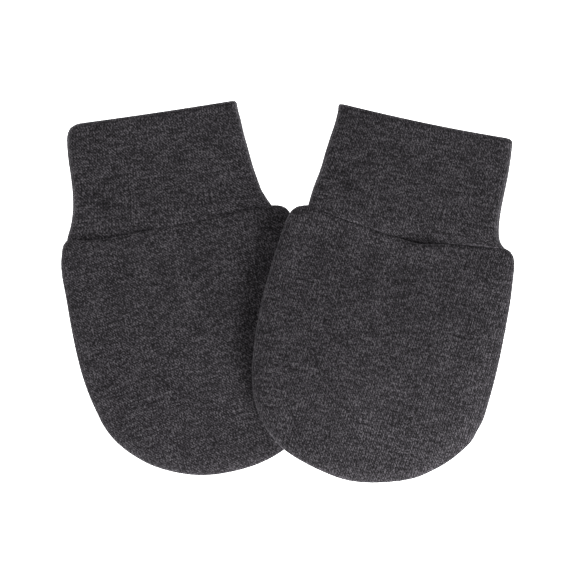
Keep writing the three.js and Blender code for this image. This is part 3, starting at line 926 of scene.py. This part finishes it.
def knit_material(name, group, wale, finish):
    """A matt knit that reads its piece's grain map."""
    material = bpy.data.materials.new(name)
    material.use_nodes = True
    make = NodeMaker(material.node_tree)
    make.tree.nodes.clear()
    grain = make.add("ShaderNodeUVMap", uv_map="Grain").outputs[0]
    knit = make.add("ShaderNodeGroup", node_tree=group)
    feeds = {"Place": grain, "Wale": wale * MM, "Course": finish.course * MM}
    for key, colour in (("Dark", finish.dark), ("Middle", finish.middle), ("Pale", finish.pale)):
        feeds[key] = (*colour, 1.0)
    for socket, value in feeds.items():
        make.feed(knit.inputs[socket], value)
    bump = make.add("ShaderNodeBump", {"Height": knit.outputs["Relief"], "Strength": 1.0,
                                       "Distance": finish.relief * MM})
    shader = make.add("ShaderNodeBsdfPrincipled", {
        "Base Color": knit.outputs["Color"],
        "Roughness": 0.95,
        "Specular IOR Level": 0.2,
        "Sheen Weight": finish.sheen,
        "Sheen Roughness": 0.45,
        "Sheen Tint": (0.95, 0.92, 1.0, 1.0),
        "Normal": bump.outputs[0],
    })
    make.add("ShaderNodeOutputMaterial", {"Surface": shader.outputs[0]})
    return material


def material_named(name, wale, finish):
    group = bpy.data.node_groups.get("Heather interlock") or knit_group()
    return bpy.data.materials.get(name) or knit_material(name, group, wale, finish)


def add_piece(name, mesh, material):
    mesh.materials.append(material)
    piece = bpy.data.objects.new(name, mesh)
    bpy.context.scene.collection.objects.link(piece)
    return piece


def nap_tree():
    """Short loose fibres strewn over the cloth's outside, each lying down in its own direction."""
    tree = bpy.data.node_groups.new("Nap", "GeometryNodeTree")
    sockets = tree.interface
    for name, kind in (("Geometry", "Geometry"), ("Density", "Float"), ("Length", "Float"),
                       ("Thickness", "Float"), ("Seed", "Int"), ("Material", "Material")):
        sockets.new_socket(name, in_out="INPUT", socket_type=f"NodeSocket{kind}")
    sockets.new_socket("Geometry", in_out="OUTPUT", socket_type="NodeSocketGeometry")
    make = NodeMaker(tree)
    given = make.add("NodeGroupInput").outputs
    outside = make.add("GeometryNodeInputNamedAttribute", {"Name": "Outer"}, data_type="BOOLEAN").outputs[0]
    strewn = make.add("GeometryNodeDistributePointsOnFaces", {
        "Mesh": given["Geometry"], "Selection": outside, "Density": given["Density"], "Seed": given["Seed"],
    }).outputs
    # A fibre one unit long starts just inside the cloth, rises and lies down again.
    bend = make.add("GeometryNodeCurveQuadraticBezier", {
        "Resolution": 3, "Start": (0, 0, -0.04), "Middle": (0.3, 0, 0.4), "End": (0.95, 0, 0.08)})
    length = given["Length"]
    fibre = make.add("GeometryNodeTransform", {
        "Geometry": bend.outputs[0],
        "Scale": make.add("ShaderNodeCombineXYZ", {0: length, 1: length, 2: length}).outputs[0],
    }).outputs[0]
    section = make.add("GeometryNodeCurvePrimitiveCircle", {
        "Resolution": 3, "Radius": make.math("MULTIPLY", given["Thickness"], 0.5)}).outputs[0]
    body = make.add("GeometryNodeCurveToMesh", {"Curve": fibre, "Profile Curve": section, "Fill Caps": True})
    spin = make.add("FunctionNodeRandomValue", {0: (-0.25, -0.25, 0.0), 1: (0.25, 0.25, 2 * math.pi),
                                                8: given["Seed"]}, data_type="FLOAT_VECTOR").outputs[0]
    turned = make.add("FunctionNodeRotateRotation", {
        0: strewn["Rotation"], 1: make.add("FunctionNodeEulerToRotation", {0: spin}).outputs[0],
    }, rotation_space="LOCAL").outputs[0]
    size_feeds = {2: 0.45, 3: 1.7, 8: given["Seed"]}
    size = make.add("FunctionNodeRandomValue", size_feeds, data_type="FLOAT").outputs[1]
    placed = make.add("GeometryNodeInstanceOnPoints", {
        "Points": strewn["Points"], "Instance": body.outputs[0], "Rotation": turned, "Scale": size})
    real = make.add("GeometryNodeRealizeInstances", {0: placed.outputs[0]}).outputs[0]
    coloured = make.add("GeometryNodeSetMaterial", {"Geometry": real, "Material": given["Material"]})
    make.add("NodeGroupOutput", {0: coloured.outputs[0]})
    return tree


def grown(mesh, tree, inputs):
    """The plain mesh that a geometry tree makes from another mesh."""
    carrier = bpy.data.objects.new("Carrier", mesh)
    bpy.context.scene.collection.objects.link(carrier)
    modifier = carrier.modifiers.new("Grown", "NODES")
    modifier.node_group = tree
    sockets = {item.name: item.identifier for item in tree.interface.items_tree if item.in_out == "INPUT"}
    for name, value in inputs.items():
        modifier[sockets[name]] = value
    evaluated = carrier.evaluated_get(bpy.context.evaluated_depsgraph_get())
    result = bpy.data.meshes.new_from_object(evaluated)
    carrier.modifiers.remove(modifier)
    bpy.data.objects.remove(carrier)
    return result


def fibre_material(finish):
    material = bpy.data.materials.new("Loose fibre")
    material.use_nodes = True
    shader = material.node_tree.nodes["Principled BSDF"]
    shader.inputs["Base Color"].default_value = (*finish.pale, 1.0)
    shader.inputs["Roughness"].default_value = 0.9
    return material


class MITTEN_OT_panels(bpy.types.Operator):
    """Sews up the front and back panels of both mittens"""

    bl_idname = "mitten.panels"
    bl_label = "Body panels"

    def execute(self, context):
        sizes, finish = context.scene.mitten_cloth, context.scene.mitten_knit
        material = material_named("Body knit", finish.body_wale, finish)
        for mitten in PAIR:
            layers, grain = body_layers(mitten, sizes)
            for side, upper, lower in (("front", "front_out", "front_in"), ("back", "back_in", "back_out")):
                node = f"{mitten['name']}_{side}"
                mesh = panel_mesh(f"{node}_cloth", layers[upper], layers[lower], grain, side)
                piece = add_piece(f"{node}_cloth", mesh, material)
                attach(piece, "root")
                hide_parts(node)
        return {"FINISHED"}


class MITTEN_OT_cuffs(bpy.types.Operator):
    """Makes both cuffs, each a tube folded double at the wrist"""

    bl_idname = "mitten.cuffs"
    bl_label = "Cuffs"

    def execute(self, context):
        sizes, finish = context.scene.mitten_cloth, context.scene.mitten_knit
        material = material_named("Cuff knit", finish.cuff_wale, finish)
        for mitten in PAIR:
            node = f"{mitten['name']}_cuff"
            points, grain = cuff_tube(mitten, sizes)
            mesh = cuff_mesh(f"{node}_cloth", points, grain, outside_rings(mitten) - 1)
            piece = add_piece(f"{node}_cloth", mesh, material)
            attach(piece, "root")
            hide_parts(node)
        return {"FINISHED"}


class MITTEN_OT_nap(bpy.types.Operator):
    """Strews loose fibres over the outside of every panel and cuff"""

    bl_idname = "mitten.nap"
    bl_label = "Nap"

    def execute(self, context):
        finish = context.scene.mitten_knit
        tree, material = nap_tree(), fibre_material(finish)
        for number, (mitten, part) in enumerate(
            (mitten, part) for mitten in PAIR for part in ("front", "back", "cuff")
        ):
            node = f"{mitten['name']}_{part}"
            cloth = bpy.data.objects[f"{node}_cloth"]
            mesh = grown(cloth.data, tree, {
                "Density": finish.nap_density / MM**2,
                "Length": finish.nap_length * MM,
                "Thickness": finish.nap_thickness * MM,
                "Seed": finish.nap_seed + number,
                "Material": material,
            })
            nap = bpy.data.objects.new(f"{node}_nap", mesh)
            context.scene.collection.objects.link(nap)
            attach(nap, "root")
        return {"FINISHED"}


class MITTEN_OT_stage(bpy.types.Operator):
    """Lays the pale floor and sets the lights and the camera straight above"""

    bl_idname = "mitten.stage"
    bl_label = "Stage, lights and camera"

    def execute(self, context):
        look, scene = context.scene.mitten_stage, context.scene
        mesh = bpy.data.meshes.new("Floor")
        signs = (-1, -1), (1, -1), (1, 1), (-1, 1)
        corners = [(x * FLOOR_REACH, y * FLOOR_REACH, -FLOOR_DROP) for x, y in signs]
        mesh.from_pydata(corners, [], [(0, 1, 2, 3)])
        material = bpy.data.materials.new("Pale floor")
        material.use_nodes = True
        shader = material.node_tree.nodes["Principled BSDF"]
        shader.inputs["Base Color"].default_value = (*look.floor_colour, 1.0)
        shader.inputs["Roughness"].default_value = 0.9
        shader.inputs["Emission Color"].default_value = (1.0, 1.0, 1.0, 1.0)
        shader.inputs["Emission Strength"].default_value = look.floor_glow
        mesh.materials.append(material)
        floor = bpy.data.objects.new("Floor", mesh)
        scene.collection.objects.link(floor)

        for lamp in LAMPS:
            light = bpy.data.lights.new(lamp.name, "AREA")
            light.shape = "DISK"
            light.size = lamp.width
            light.energy = look.lights * lamp.power
            holder = bpy.data.objects.new(lamp.name, light)
            holder.location = lamp.place
            holder.rotation_euler = holder.location.to_track_quat("Z", "Y").to_euler()
            scene.collection.objects.link(holder)

        world = bpy.data.worlds.new("Even light")
        world.use_nodes = True
        world.node_tree.nodes["Background"].inputs["Color"].default_value = (1.0, 1.0, 1.0, 1.0)
        world.node_tree.nodes["Background"].inputs["Strength"].default_value = look.sky
        scene.world = world
        scene.view_settings.view_transform = "Standard"

        camera = bpy.data.cameras.new("Camera")
        camera.lens = look.lens
        camera.sensor_width = 36.0
        camera.clip_end = 10.0
        holder = bpy.data.objects.new("Camera", camera)
        height = PHOTO_WIDTH * PIXEL * look.lens / camera.sensor_width + SEEN_HEIGHT
        holder.location = Vector((*PHOTO_MIDDLE, height)) * MM
        scene.collection.objects.link(holder)
        scene.camera = holder
        return {"FINISHED"}


class MITTEN_PT_maker(bpy.types.Panel):
    """Lists the pieces in the order in which they are made"""

    bl_label = "Baby mittens"
    bl_space_type = "VIEW_3D"
    bl_region_type = "UI"
    bl_category = "Mittens"

    def draw(self, context):
        column = self.layout.column(align=True)
        for maker in MAKERS:
            column.operator(maker.bl_idname)
        for group in (context.scene.mitten_cloth, context.scene.mitten_knit, context.scene.mitten_stage):
            box = self.layout.box()
            for name in type(group).__annotations__:
                box.prop(group, name)


SETTINGS = (ClothSizes, KnitFinish, StageLook)
MAKERS = (MITTEN_OT_panels, MITTEN_OT_cuffs, MITTEN_OT_nap, MITTEN_OT_stage)


def register():
    for shown in (*SETTINGS, *MAKERS, MITTEN_PT_maker):
        bpy.utils.register_class(shown)
    bpy.types.Scene.mitten_cloth = PointerProperty(type=ClothSizes)
    bpy.types.Scene.mitten_knit = PointerProperty(type=KnitFinish)
    bpy.types.Scene.mitten_stage = PointerProperty(type=StageLook)


def unregister():
    for name in ("mitten_cloth", "mitten_knit", "mitten_stage"):
        delattr(bpy.types.Scene, name)
    for shown in reversed((*SETTINGS, *MAKERS, MITTEN_PT_maker)):
        bpy.utils.unregister_class(shown)


def main():
    register()
    bpy.ops.mitten.panels()
    bpy.ops.mitten.cuffs()
    bpy.ops.mitten.nap()
    bpy.ops.mitten.stage()


if __name__ == "__main__":
    main()
